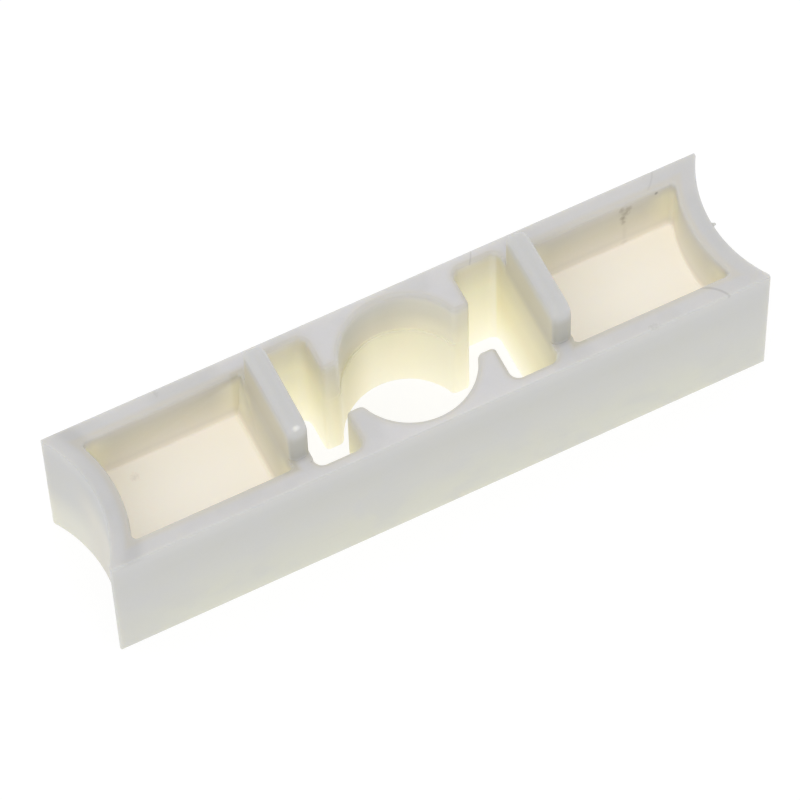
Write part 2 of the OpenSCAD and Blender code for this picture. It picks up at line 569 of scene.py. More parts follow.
# %% [markdown]
# ## How the plastic looks
# Natural white plastic of this kind is slightly translucent. Outside, the block looks light grey with a
# satin sheen. Inside the pockets and slots the light has passed through the walls, so the upper parts of the
# walls look khaki and the deep parts cream, almost glowing. One material holds all of that: it works out how
# deep each point lies in a cavity and paints that light and shade into the colour by that depth. The helpers
# below let the material be written as short formulas.

# %% Helpers that write formulas as shader nodes
def feed(tree, value, socket):
    """Link a socket, or set a plain value."""
    if isinstance(value, bpy.types.NodeSocket):
        tree.links.new(value, socket)
    else:
        socket.default_value = value


def calc(tree, operation, *values):
    """One Math node."""
    node = tree.nodes.new("ShaderNodeMath")
    node.operation = operation
    for value, socket in zip(values, node.inputs):
        feed(tree, value, socket)
    return node.outputs[0]


def vector_calc(tree, operation, *values):
    """One Vector Math node. A length comes out of its own output."""
    node = tree.nodes.new("ShaderNodeVectorMath")
    node.operation = operation
    for value, socket in zip(values, node.inputs):
        feed(tree, value, socket)
    return node.outputs["Value" if operation == "LENGTH" else "Vector"]


def split(tree, vector):
    """The three parts of a vector."""
    node = tree.nodes.new("ShaderNodeSeparateXYZ")
    feed(tree, vector, node.inputs[0])
    return node.outputs


# %% Helpers for fades, mixed colours and noise
def fade(tree, value, start, end):
    """Smoothly from 0 at start to 1 at end. Start may be the larger of the two."""
    node = tree.nodes.new("ShaderNodeMapRange")
    node.interpolation_type = "SMOOTHSTEP"
    feed(tree, value, node.inputs["Value"])
    feed(tree, start, node.inputs["From Min"])
    feed(tree, end, node.inputs["From Max"])
    return node.outputs["Result"]


def blend(tree, share, first, second, how="MIX"):
    """Mix two colours. In a Mix node for colours, A and B are inputs 6 and 7."""
    node = tree.nodes.new("ShaderNodeMix")
    node.data_type = "RGBA"
    node.blend_type = how
    feed(tree, share, node.inputs[0])
    feed(tree, first, node.inputs[6])
    feed(tree, second, node.inputs[7])
    return node.outputs[2]


def noise(tree, point, scale, detail=3.0, roughness=0.5):
    """Soft cloudy noise from 0 to 1."""
    node = tree.nodes.new("ShaderNodeTexNoise")
    feed(tree, point, node.inputs["Vector"])
    feed(tree, scale, node.inputs["Scale"])
    node.inputs["Detail"].default_value = detail
    node.inputs["Roughness"].default_value = roughness
    return node.outputs["Fac"]


# %% Helpers for node groups
def new_group(name, inputs, outputs):
    """An empty node group with named inputs and outputs, and its two end nodes."""
    tree = bpy.data.node_groups.new(name, "ShaderNodeTree")
    for socket_name, value in inputs.items():
        kind = "Float" if isinstance(value, float) else "Vector"
        socket = tree.interface.new_socket(socket_name, in_out="INPUT", socket_type="NodeSocket" + kind)
        socket.default_value = value
    for socket_name in outputs:
        tree.interface.new_socket(socket_name, in_out="OUTPUT", socket_type="NodeSocketFloat")
    return tree, tree.nodes.new("NodeGroupInput").outputs, tree.nodes.new("NodeGroupOutput").inputs


def place(tree, group, **values):
    """Put a node group into a tree with its own values."""
    node = tree.nodes.new("ShaderNodeGroup")
    node.node_tree = group
    for name, value in values.items():
        feed(tree, value, node.inputs[name])
    return node.outputs


# %% [markdown]
# ## Where a point lies
# The colour depends on whether a point is on the outside or in a cavity, how deep it
# is there, and how near it is to a rim or to an upright corner. None of that needs a
# painted mask. Seen from above, each cavity is a box, a channel or a round hole with
# known sides, so the gap between a point and the nearest cavity can be worked out,
# and the rest follows from that gap and the height. In the blind pockets the depth is
# counted from the nearer face, because there is one from above and one from below.

# %% Helpers that measure in plan, in millimetres
def chain(tree, operation, *values):
    """One Math operation over several values in turn."""
    result = values[0]
    for value in values[1:]:
        result = calc(tree, operation, result, value)
    return result


def product(tree, *values):
    """All the values multiplied together."""
    return chain(tree, "MULTIPLY", *values)


def past(tree, value, side):
    """How far a value lies past a side of a cavity."""
    return calc(tree, "SUBTRACT", value, side / MM)


def plan_length(tree, dx, dy):
    """Length of a line seen from above."""
    squares = (product(tree, side, side) for side in (dx, dy))
    return calc(tree, "SQRT", calc(tree, "ADD", *squares))


# %% Cavity group, first the gap to each cavity
cavity, given, result = new_group(
    "cavity", {"Point": (0, 0, 0)}, ["Inside", "Depth", "Pocket", "Rim", "Corner", "End wall"])
x, y, z = split(cavity, given["Point"])
along = calc(cavity, "ABSOLUTE", x)
across = calc(cavity, "ABSOLUTE", y)

to_drum = calc(cavity, "SUBTRACT", drum_radius / MM, plan_length(cavity, past(cavity, along, scoop_x), y))
to_tab = calc(cavity, "SUBTRACT", POCKET_START / MM, along)
pocket_side = past(cavity, across, pocket_half)
pocket_gap = chain(cavity, "MAXIMUM", pocket_side, to_tab, to_drum)

slot_middle = (SLOT_INNER + SLOT_OUTER) / 2
off_slot = calc(cavity, "ABSOLUTE", past(cavity, along, slot_middle))
past_x = calc(cavity, "MAXIMUM", past(cavity, off_slot, SLOT_OUTER - slot_middle - SLOT_CORNER), 0.0)
past_y = calc(cavity, "MAXIMUM", past(cavity, across, SLOT_HALF - SLOT_CORNER), 0.0)
slot_gap = past(cavity, plan_length(cavity, past_x, past_y), SLOT_CORNER)
channel_gap = chain(cavity, "MAXIMUM", past(cavity, across, CHANNEL_HALF), past(cavity, along, slot_middle))
off_centre = calc(cavity, "MAXIMUM", past(cavity, across, OPENING_SHIFT), 0.0)
opening_gap = past(cavity, plan_length(cavity, x, off_centre), OPENING_RADIUS)
gap = chain(cavity, "MINIMUM", pocket_gap, slot_gap, channel_gap, opening_gap)

# %% Cavity group, then what the material needs to know
UNDER_TOP = (-0.5, -0.1)
POCKET_SIDE = (cross_middle / MM, cross_middle / MM + 0.5)
INSIDE_GAP = (0.75, 0.35)
RIM_GAP = (1.4, 0.25)
CORNER_GAP = (5.0, 0.5)
END_WALL_GAP = (2.5, 0.4)

from_top = calc(cavity, "SUBTRACT", top_z / MM, z)
nearer = calc(cavity, "MINIMUM", from_top, z)
under_top = fade(cavity, from_top, *UNDER_TOP)
in_pocket = fade(cavity, along, *POCKET_SIDE)
pocket_share = product(cavity, in_pocket, nearer)
middle_share = product(cavity, calc(cavity, "SUBTRACT", 1.0, in_pocket), from_top)
to_end = calc(cavity, "MINIMUM", calc(cavity, "ABSOLUTE", to_drum), calc(cavity, "ABSOLUTE", to_tab))
to_corner = calc(cavity, "MAXIMUM", calc(cavity, "ABSOLUTE", pocket_side), to_end)
cavity.links.new(product(cavity, fade(cavity, gap, *INSIDE_GAP), under_top), result["Inside"])
cavity.links.new(calc(cavity, "ADD", pocket_share, middle_share), result["Depth"])
cavity.links.new(in_pocket, result["Pocket"])
cavity.links.new(product(cavity, fade(cavity, gap, *RIM_GAP), under_top), result["Rim"])
cavity.links.new(product(cavity, fade(cavity, to_corner, *CORNER_GAP), in_pocket), result["Corner"])
cavity.links.new(fade(cavity, calc(cavity, "ABSOLUTE", to_drum), *END_WALL_GAP), result["End wall"])
print("cavity group has", len(cavity.nodes), "nodes")

# %% [markdown]
# ## Marks
# The marks on this block are of two kinds: soft spots, such as a stain or a speck,
# and fine curved lines, such as a scratch or a hair. Each kind is a node group with
# its place and size as inputs, so that one group serves every mark of its kind. A
# noise moves the border of a spot, because a stain with a smooth border looks drawn.

# %% Spot group
SPOT_BORDER = (1.0, 0.1)

spot_inputs = {"Point": (0, 0, 0), "Centre": (0, 0, 0), "Size": (1, 1, 1), "Ragged": 0.5, "Noise": 0.5}
spot, given, result = new_group("spot", spot_inputs, ["Mask"])
offset = vector_calc(spot, "SUBTRACT", given["Point"], given["Centre"])
distance = vector_calc(spot, "LENGTH", vector_calc(spot, "DIVIDE", offset, given["Size"]))
uneven = product(spot, calc(spot, "SUBTRACT", given["Noise"], 0.5), given["Ragged"])
border = calc(spot, "ADD", distance, uneven)
spot.links.new(fade(spot, border, *SPOT_BORDER), result["Mask"])

# %% Fine line group: part of a circle seen from above
LINE_CORE = 0.2
LINE_FULL_TONE = 0.6
LINE_HEIGHT = (0.8, 0.5)

line, given, result = new_group("fine_line", {
    "Point": (0, 0, 0), "Middle": (0, 0, 0), "Centre": (0, 0, 0),
    "Radius": 5.0, "Half length": 2.0, "Width": 0.1}, ["Mask"])
x, y, z = split(line, given["Point"])
centre_x, centre_y = split(line, given["Centre"])[:2]
middle_x, middle_y, middle_z = split(line, given["Middle"])


def plan_gap(x, y, to_x, to_y):
    """Distance between two points of the line group, seen from above."""
    return plan_length(line, calc(line, "SUBTRACT", x, to_x), calc(line, "SUBTRACT", y, to_y))


from_centre = plan_gap(x, y, centre_x, centre_y)
off_line = calc(line, "ABSOLUTE", calc(line, "SUBTRACT", from_centre, given["Radius"]))
on_line = fade(line, off_line, given["Width"], product(line, given["Width"], LINE_CORE))
full_tone = product(line, given["Half length"], LINE_FULL_TONE)
in_reach = fade(line, plan_gap(x, y, middle_x, middle_y), given["Half length"], full_tone)
at_height = fade(line, calc(line, "ABSOLUTE", calc(line, "SUBTRACT", z, middle_z)), *LINE_HEIGHT)
line.links.new(product(line, on_line, in_reach, at_height), result["Mask"])
print("mark groups:", spot.name, "and", line.name)

# %% [markdown]
# ## Grain of the moulding and rubbing marks
# The mould leaves a very fine grain, and the plastic is a little cloudy. The long
# sides slide in a track, so they carry faint rubbing lines that run along the block.
# Both are noise in real millimetres. The rubbing lines come from noise that is
# stretched along X until it breaks into threads.

# %% Grain group
grain, given, result = new_group("moulded_grain", {"Point": (0, 0, 0)}, ["Fine", "Cloud"])
grain.links.new(noise(grain, given["Point"], scale=2.6, detail=3.0, roughness=0.6), result["Fine"])
grain.links.new(noise(grain, given["Point"], scale=0.16, detail=2.0, roughness=0.5), result["Cloud"])

# %% Rubbing group: threads on the long sides, and worn long edges
THREAD_STRETCH = (0.05, 1.0, 2.6)
PATCH_STRETCH = (0.5, 1.0, 1.0)
THREADS_SHOW = (0.56, 0.72)
PATCHES_SHOW = (0.4, 0.65)
EDGE_PATCHES_SHOW = (0.35, 0.6)
ON_THE_SIDES = (11.1, 11.22)
AT_THE_CORNERS = (10.85, 11.15)
FROM_THE_FACES = (0.5, 0.1)

rubbing, given, result = new_group("rubbing", {"Point": (0, 0, 0)}, ["Lines", "Worn edge"])
y, z = split(rubbing, given["Point"])[1:]
across = calc(rubbing, "ABSOLUTE", y)
thread_point = vector_calc(rubbing, "MULTIPLY", given["Point"], THREAD_STRETCH)
threads = noise(rubbing, thread_point, scale=1.6, detail=2.0, roughness=0.6)
patch_point = vector_calc(rubbing, "MULTIPLY", given["Point"], PATCH_STRETCH)
patches = noise(rubbing, patch_point, scale=0.12, detail=1.0)
rubbed = product(
    rubbing, fade(rubbing, threads, *THREADS_SHOW), fade(rubbing, patches, *PATCHES_SHOW),
    fade(rubbing, across, *ON_THE_SIDES))
rubbing.links.new(rubbed, result["Lines"])
from_top = calc(rubbing, "ABSOLUTE", calc(rubbing, "SUBTRACT", top_z / MM, z))
from_faces = calc(rubbing, "MINIMUM", z, from_top)
edge_patches = noise(rubbing, given["Point"], scale=0.5, detail=2.0, roughness=0.6)
worn = product(
    rubbing, fade(rubbing, across, *AT_THE_CORNERS), fade(rubbing, from_faces, *FROM_THE_FACES),
    fade(rubbing, edge_patches, *EDGE_PATCHES_SHOW))
rubbing.links.new(worn, result["Worn edge"])
print("surface groups:", grain.name, "and", rubbing.name)

# %% [markdown]
# ## The colours of the block
# The colours below are written as 0 to 255, as one reads them in a picture, and a small function turns them
# into the linear values that a shader needs. Outside, the top is a cool grey, and painted light makes the
# sides a little warmer and lighter towards the base. In the cavities the colour follows the depth, with one
# ramp each for the opening, the slots and the pockets, and these ramps paint in the light that passes
# through the walls. The ramps of the opening and the slots also paint in light from below.

# %% Colour values
def written(red, green, blue):
    """A colour of 0 to 255 as linear values for a shader."""
    def linear(value):
        value = value / 255
        return value / 12.92 if value <= 0.04045 else ((value + 0.055) / 1.055) ** 2.4
    return linear(red), linear(green), linear(blue), 1


GREY_SHADE = written(197, 197, 197)
SCOOP_WARM_LIGHT = written(211, 208, 198)
SCOOP_SHADE = (0.95, 0.955, 0.96, 1)
RIM_GLOW = written(207, 203, 194)
WORN_EDGE = written(205, 205, 204)
TAB_FLANK_SHADE = written(203, 198, 180)
TAB_END_SHADE = written(180, 179, 172)
TAB_GREY = written(202, 202, 202)
THIN_CORNER_GLOW = written(243, 240, 220)
CROSS_WALL_SHADE = (0.91, 0.89, 0.77, 1)
INNER_WALL_SHADE = (0.95, 0.94, 0.88, 1)
SHADED_SIDE_TINT = (0.9, 0.89, 0.86, 1)
SHADED_DEPTH_TINT = (0.82, 0.8, 0.69, 1)
LIT_SIDE = written(255, 252, 235)
TOP_MIDDLE_LIGHT = written(214, 213, 214)
RIM_SHADE = (0.9, 0.9, 0.9, 1)
LIT_FOOT = written(230, 228, 214)

# %% Colours by depth: millimetres, then red, green and blue
# Outside, the dip from 0.03 to 0.35 mm is painted shade on the rounded edges, and the lighter, warmer stops
# towards the base are painted light from below.
OUTSIDE = [
    (0, 209, 208, 208), (0.03, 200, 200, 200), (0.1, 194, 194, 193),
    (0.35, 201, 201, 200), (0.8, 202, 202, 200),
    (3, 197, 197, 194), (6, 196, 196, 191), (12, 201, 201, 195),
    (18, 207, 207, 195), (23, 212, 212, 199),
]
# The brighter stops from 9.1 to 9.38 mm paint light over the fine step in the opening.
IN_THE_OPENING = [
    (0, 206, 204, 200), (0.7, 217, 217, 219), (2, 212, 212, 210),
    (5, 213, 211, 203), (8.7, 222, 218, 209), (9.1, 235, 233, 221),
    (9.38, 239, 237, 226), (9.6, 232, 229, 214), (10.5, 239, 237, 220),
    (14, 240, 238, 225), (20, 243, 240, 229),
]
IN_A_SLOT = [
    (0, 207, 204, 198), (0.7, 231, 230, 226), (2, 236, 233, 222),
    (5, 243, 241, 231), (9, 253, 251, 240), (20, 253, 251, 241),
]
IN_A_POCKET = [
    (0, 206, 203, 197), (0.5, 216, 215, 213), (1.2, 215, 212, 206),
    (2.3, 214, 211, 200), (5, 224, 220, 205), (8, 234, 230, 219),
    (10.2, 231, 227, 219), (10.7, 247, 245, 241),
]
GLOW_IN_THE_MIDDLE = [
    (2, 0, 0, 0), (9, 67, 65, 50), (16, 92, 88, 69), (23, 103, 99, 79),
]
GLOW_IN_A_POCKET = [
    (2, 0, 0, 0), (9, 49, 46, 40), (10.6, 110, 104, 94),
]

# %% A colour ramp over the depth
FULL_DEPTH = 24


def by_depth(tree, depth, stops):
    """A colour ramp over the depth in a cavity. A new ramp already has two stops."""
    node = tree.nodes.new("ShaderNodeValToRGB")
    feed(tree, calc(tree, "DIVIDE", depth, FULL_DEPTH), node.inputs[0])
    ramp = node.color_ramp
    for number, (at_depth, *tone) in enumerate(stops):
        stop = ramp.elements[number] if number < 2 else ramp.elements.new(at_depth / FULL_DEPTH)
        stop.position = at_depth / FULL_DEPTH
        stop.color = written(*tone)
    return node.outputs["Color"]


# %% [markdown]
# ## Putting the material together
# The material starts from the outer greys, lays the cavity colours over them by depth, and then adds the
# painted shade on the tabs, the marks with one painted glint, and the worn edges. The small light that the
# plastic seems to give off in the depths is painted in as emission, and subsurface scattering softens the
# light at the thin rims, as it does in the real plastic.
# Nearly every change of tone is a fade, written as a pair: where it starts, and where it
# is complete. The pairs are in millimetres, apart from the clouds, which fade over a
# noise, and `LOOKS_DOWN`, which fades over the direction of the surface.
# The emission is weak and spread over whole walls, so the renderer needn't aim at it as
# at a lamp, and is quicker for it.

# %% Start the material and find the place of each point
plastic = bpy.data.materials.new("natural_plastic")
plastic.use_nodes = True
tree = plastic.node_tree
shader = tree.nodes["Principled BSDF"]

coordinates = tree.nodes.new("ShaderNodeTexCoord")
in_millimetres = tree.nodes.new("ShaderNodeMapping")
in_millimetres.inputs["Scale"].default_value = (1 / MM, 1 / MM, 1 / MM)
tree.links.new(coordinates.outputs["Object"], in_millimetres.inputs["Vector"])
point = in_millimetres.outputs["Vector"]
x, y, z = split(tree, point)
where = place(tree, cavity, Point=point)
texture = place(tree, grain, Point=point)
wear = place(tree, rubbing, Point=point)

# %% Outside: grey with painted light that changes with height, a painted lighter middle of the top face, cloudy patches and painted shade at the ends
TOP_MIDDLE_ALONG = (28.0, 22.0)
TOP_FACE_ONLY = (0.03, 0.01)
CLOUDS = (0.45, 0.7)
CLOUD_SHARE = 0.35
END_ALONG = (39.0, 48.0)
END_SHARE = 0.4

along = calc(tree, "ABSOLUTE", x)
across = calc(tree, "ABSOLUTE", y)
from_top = calc(tree, "SUBTRACT", top_z / MM, z)
outside = by_depth(tree, from_top, OUTSIDE)
on_top = fade(tree, from_top, *TOP_FACE_ONLY)
# Painted light: the middle of the top face is made lighter.
lit_top_middle = product(tree, fade(tree, along, *TOP_MIDDLE_ALONG), on_top)
outside = blend(tree, lit_top_middle, outside, TOP_MIDDLE_LIGHT)
cloudy = product(tree, fade(tree, texture["Cloud"], *CLOUDS), CLOUD_SHARE)
outside = blend(tree, cloudy, outside, GREY_SHADE)
# Painted shade: the ends of the block are made darker.
painted_end_shade = product(tree, fade(tree, along, *END_ALONG), END_SHARE)
outside = blend(tree, painted_end_shade, outside, GREY_SHADE)

# %% Hollow ends in painted shade, warmer and lighter towards the foot by painted light, and a painted warm glow on the rims round the cavities
HOLLOW_ACROSS = (7.5, 2.0)
HOLLOW_ALONG = (44.0, 46.6)
HOLLOW_WARM_HEIGHT = (21.5, 12.0)
FOOT_ACROSS = (0.0, 6.0)
FOOT_HEIGHT = (12.0, 3.0)
FOOT_SHARE = 0.5
CENTRE_RIM_SHARE = 0.5

at_end = fade(tree, along, *HOLLOW_ALONG)
hollow = product(tree, fade(tree, across, *HOLLOW_ACROSS), at_end)
# Painted shade darkens the hollow ends, and painted warm light tints them towards the foot.
outside = blend(tree, hollow, outside, SCOOP_SHADE, "MULTIPLY")
outside = blend(tree, product(tree, hollow, fade(tree, z, *HOLLOW_WARM_HEIGHT)), outside, SCOOP_WARM_LIGHT)
lit_foot = product(
    tree, at_end, fade(tree, y, *FOOT_ACROSS), fade(tree, z, *FOOT_HEIGHT), FOOT_SHARE)
outside = blend(tree, lit_foot, outside, LIT_FOOT)
# Painted glow: light that comes up through the plastic is painted warm on the rims round the cavities.
rim_share = calc(tree, "MULTIPLY_ADD", where["Pocket"], 1 - CENTRE_RIM_SHARE, CENTRE_RIM_SHARE)
outside = blend(tree, product(tree, where["Rim"], rim_share), outside, RIM_GLOW)

# %% Inside the opening: shaded at its left, lit at its right
BELOW_RIM = (0.2, 1.5)
SHADE_ACROSS = (-0.3, -6.5)
SHADE_DEEPENS = (5.0, 9.0)
LIGHT_ACROSS = (0.5, 7.0)
LIGHT_GROWS = (4.0, 8.5)
LIGHT_AT_RIM = 0.33
LIGHT_ADDED = 0.27

opening = by_depth(tree, where["Depth"], IN_THE_OPENING)
below_rim = fade(tree, from_top, *BELOW_RIM)
side_tint = blend(tree, fade(tree, from_top, *SHADE_DEEPENS), SHADED_SIDE_TINT, SHADED_DEPTH_TINT)
shaded = product(tree, fade(tree, x, *SHADE_ACROSS), below_rim)
opening = blend(tree, shaded, opening, side_tint, "MULTIPLY")
light = calc(tree, "MULTIPLY_ADD", fade(tree, from_top, *LIGHT_GROWS), LIGHT_ADDED, LIGHT_AT_RIM)
light = product(tree, fade(tree, x, *LIGHT_ACROSS), below_rim, light)
opening = blend(tree, light, opening, LIT_SIDE)

# %% Inside the slots: their own colours, and painted khaki shade on the cross walls
OPENING_TO_SLOT = (6.0, 12.5)
CROSS_WALL_GAP = (0.5, 0.2)
CROSS_WALL_TOP = (0.1, 0.8)
CROSS_WALL_DEEP = (26.0, 12.0)

middle = blend(tree, fade(tree, along, *OPENING_TO_SLOT), opening, by_depth(tree, where["Depth"], IN_A_SLOT))
# Painted shade: the cross wall under each tab is darkened to khaki.
beside_slot = product(
    tree, fade(tree, calc(tree, "ABSOLUTE", past(tree, along, SLOT_OUTER)), *CROSS_WALL_GAP),
    fade(tree, from_top, *CROSS_WALL_DEEP), fade(tree, from_top, *CROSS_WALL_TOP))
middle = blend(tree, beside_slot, middle, CROSS_WALL_SHADE, "MULTIPLY")

# %% Inside the pockets: painted glow where the wall is thin and in the corners, painted shade on the inner wall, and painted shade on the rim at the left
THIN_FROM = (0.3, 3.0)
THIN_UNTIL = (10.2, 7.0)
THIN_MOST = 0.9
END_WALL_SHARE = 0.2
INNER_WALL_ALONG = (23.2, 22.5)
LEFT_POCKET = (-30.0, -38.0)
LEFT_RIM_DEPTH = (1.0, 0.4)

depth = where["Depth"]
# Painted light: the thin end wall and the upright corners are made lighter, as if light came through the
# plastic.
thin_glow = calc(tree, "MULTIPLY_ADD", where["End wall"], END_WALL_SHARE, where["Corner"])
thin_glow = product(
    tree, calc(tree, "MINIMUM", thin_glow, THIN_MOST), fade(tree, depth, *THIN_FROM),
    fade(tree, depth, *THIN_UNTIL))
pocket_colour = blend(tree, thin_glow, by_depth(tree, depth, IN_A_POCKET), THIN_CORNER_GLOW)
# Painted shade: the inner wall, next to the tab, is darkened.
inner_wall = fade(tree, along, *INNER_WALL_ALONG)
pocket_colour = blend(tree, inner_wall, pocket_colour, INNER_WALL_SHADE, "MULTIPLY")
inside = blend(tree, where["Pocket"], middle, pocket_colour)
colour = blend(tree, where["Inside"], outside, inside)
left_rim = product(
    tree, where["End wall"], where["End wall"], fade(tree, x, *LEFT_POCKET),
    fade(tree, from_top, *LEFT_RIM_DEPTH))
colour = blend(tree, left_rim, colour, RIM_SHADE, "MULTIPLY")

# %% The light in the depths, stronger at the right of each pocket floor
NO_GLOW = written(0, 0, 0)
FLOOR_END = half_length - 6 * MM
FLOOR_HALF = 11.0
RIGHT_EXTRA = 0.45
LOOKS_DOWN = (-0.1, -0.8)

off_floor_middle = past(tree, along, (POCKET_START + FLOOR_END) / 2)
to_right = product(tree, calc(tree, "DIVIDE", off_floor_middle, FLOOR_HALF), calc(tree, "SIGN", x))
stronger = calc(tree, "MULTIPLY_ADD", to_right, RIGHT_EXTRA, 1.0)
pocket_glow = blend(tree, 1.0, by_depth(tree, depth, GLOW_IN_A_POCKET), stronger, "MULTIPLY")
surface_facts = tree.nodes.new("ShaderNodeNewGeometry")
looks_down = fade(tree, split(tree, surface_facts.outputs["Normal"])[2], *LOOKS_DOWN)
middle_glow = blend(tree, looks_down, by_depth(tree, depth, GLOW_IN_THE_MIDDLE), NO_GLOW)
glow = blend(tree, where["Pocket"], middle_glow, pocket_glow)
glow = blend(tree, where["Inside"], NO_GLOW, glow)

# %% Tabs: painted khaki shade on the flanks that runs on into the walls below, and painted darker shade on the ends
TAB_STARTS = (24.5, 26.0)
FLANK_FROM = (1.15, 1.45)
FLANK_UNTIL = (2.2, 1.8)
FLANK_ACROSS = (7.3, 6.6)
FLANK_HEIGHT = (31.0, 27.5)
FLANK_DEPTH = (3.2, -0.3)
END_FROM = (6.6, 7.3)
END_UNTIL = (8.2, 7.6)
END_THICKNESS = (1.8, 1.6)
END_HEIGHT = (31.4, 28.0)
END_DEPTH = (0.5, -1.0)

off_tab_middle = calc(tree, "ABSOLUTE", past(tree, along, cross_middle))
# Painted shade: the flanks of the tabs are darkened to khaki.
flank_shade = product(
    tree, fade(tree, off_tab_middle, *FLANK_FROM), fade(tree, off_tab_middle, *FLANK_UNTIL),
    fade(tree, across, *FLANK_ACROSS), fade(tree, z, *FLANK_HEIGHT), fade(tree, from_top, *FLANK_DEPTH))
colour = blend(tree, fade(tree, z, *TAB_STARTS), colour, TAB_GREY)
colour = blend(tree, flank_shade, colour, TAB_FLANK_SHADE)
# Painted shade: the ends of the tabs are darker grey.
end_shade = product(
    tree, fade(tree, across, *END_FROM), fade(tree, across, *END_UNTIL),
    fade(tree, off_tab_middle, *END_THICKNESS), fade(tree, z, *END_HEIGHT), fade(tree, from_top, *END_DEPTH))
colour = blend(tree, end_shade, colour, TAB_END_SHADE)
print("colour so far uses", len(tree.nodes), "nodes")

# %% [markdown]
# ## The marks on this block
# A spot is written as its centre, its half size along each axis, how ragged it is, its
# tone and its strength. A fine line is written as its middle, the centre and radius of
# its circle, its half length, its width and its strength. All places are in
# millimetres from the middle of the base, as in the CAD model.

# %% Stain in the right pocket, specks, smudges and a painted glint on the left tab
POCKET_WALL = pocket_half / MM
STAIN_BROWN = written(100, 74, 28)
SPECK_BLACK = written(52, 50, 46)
SMUDGE_GREY = written(184, 183, 182)
PAINTED_GLINT = written(246, 246, 244)

spots_and_glint = [
    ((37.6, POCKET_WALL, 21.4), (1.5, 0.8, 1.7), 0.8, STAIN_BROWN, 0.13),
    ((37.4, POCKET_WALL, 19.4), (0.8, 0.8, 1.6), 0.8, STAIN_BROWN, 0.13),
    ((37.1, POCKET_WALL, 22.0), (0.6, 0.8, 0.9), 1.0, STAIN_BROWN, 0.26),
    ((38.15, POCKET_WALL, 21.7), (0.8, 0.8, 1.0), 1.2, STAIN_BROWN, 0.26),
    ((37.7, POCKET_WALL, 20.8), (0.8, 0.8, 0.9), 1.2, STAIN_BROWN, 0.24),
    ((37.3, POCKET_WALL, 19.9), (0.55, 0.8, 0.8), 0.8, STAIN_BROWN, 0.42),
    ((37.4, POCKET_WALL, 18.7), (0.45, 0.8, 1.0), 0.8, STAIN_BROWN, 0.22),
    ((37.6, POCKET_WALL, 16.0), (0.6, 0.8, 3.4), 0.8, STAIN_BROWN, 0.07),
    ((37.65, POCKET_WALL, 13.4), (0.9, 0.8, 0.7), 1.0, SPECK_BLACK, 0.12),
    ((42.5, POCKET_WALL, 22.6), (0.4, 0.7, 0.55), 0.8, SPECK_BLACK, 0.5),
    ((-39.1, 5.7, 12.9), (0.9, 0.9, 0.6), 2.0, SMUDGE_GREY, 0.25),
    ((32.1, -11.0, 23.4), (1.0, 0.8, 0.7), 2.5, SMUDGE_GREY, 0.4),
    ((-38.3, -7.4, 23.5), (0.7, 0.5, 0.6), 2.0, SMUDGE_GREY, 0.4),
    ((-33.0, 10.6, 23.5), (0.5, 0.9, 0.6), 2.0, SMUDGE_GREY, 0.35),
    ((-46.9, 0.2, 22.3), (0.6, 0.5, 0.9), 2.0, SMUDGE_GREY, 0.4),
    # Painted highlight: a glint on the front upper corner of the left tab.
    ((-20.0, -6.75, 31.0), (0.75, 0.55, 0.6), 0.6, PAINTED_GLINT, 0.65),
]
for centre, size, ragged, tone, strength in spots_and_glint:
    mark = place(tree, spot, Point=point, Centre=centre, Size=size, Ragged=ragged, Noise=texture["Fine"])
    colour = blend(tree, product(tree, mark["Mask"], strength), colour, tone)
print(len(spots_and_glint), "spots laid over the plastic")

# %% Fine lines on the top face
LINE_TONE = written(120, 116, 122)
line_marks = [
    ((42.4, -9.7, top_z / MM), (39.2, -12.9, 0), 4.62, 2.9, 0.27, 0.26),
    ((42.5, 9.8, top_z / MM), (37.8, 13.7, 0), 6.1, 1.8, 0.22, 0.12),
    ((14.8, 10.4, top_z / MM), (10.0, 13.2, 0), 5.55, 1.3, 0.16, 0.2),
]
for middle, centre, radius, half_length_mm, width, strength in line_marks:
    values = {"Point": point, "Middle": middle, "Centre": centre, "Radius": radius,
              "Half length": half_length_mm, "Width": width}
    mark = place(tree, line, **values)
    colour = blend(tree, product(tree, mark["Mask"], strength), colour, LINE_TONE)
print(len(line_marks), "fine lines laid over the plastic")

# %% Wear, then colour and light into the shader
EDGE_WEAR = 0.3
LINE_WEAR = 0.25
FINE_TONE = 0.05
FINE_TONE_LOW = 0.975

colour = blend(tree, product(tree, wear["Worn edge"], EDGE_WEAR), colour, WORN_EDGE)
colour = blend(tree, product(tree, wear["Lines"], LINE_WEAR), colour, GREY_SHADE)
fine_tone = calc(tree, "MULTIPLY_ADD", texture["Fine"], FINE_TONE, FINE_TONE_LOW)
colour = blend(tree, 1.0, colour, fine_tone, "MULTIPLY")
tree.links.new(colour, shader.inputs["Base Color"])
tree.links.new(glow, shader.inputs["Emission Color"])
print("marks, wear and colour use", len(tree.nodes), "nodes")

# %% Gloss: satin, duller where it is rubbed and shinier on the worn edges
PLAIN_ROUGHNESS = 0.38
FINE_ROUGHNESS = 0.12
WEAR_ROUGHNESS = 0.1

roughness = calc(tree, "MULTIPLY_ADD", texture["Fine"], FINE_ROUGHNESS, PLAIN_ROUGHNESS)
wear_gap = calc(tree, "SUBTRACT", wear["Lines"], wear["Worn edge"])
roughness = calc(tree, "MULTIPLY_ADD", wear_gap, WEAR_ROUGHNESS, roughness)
tree.links.new(roughness, shader.inputs["Roughness"])

# %% Fine relief, and the light that spreads inside the plastic
LINE_RELIEF = 0.6
SAME_ALL_OVER = {
    "IOR": 1.49, "Emission Strength": 1.0, "Subsurface Weight": 0.4,
    "Subsurface Radius": (1.0, 0.9, 0.6), "Subsurface Scale": 2.0 * MM}

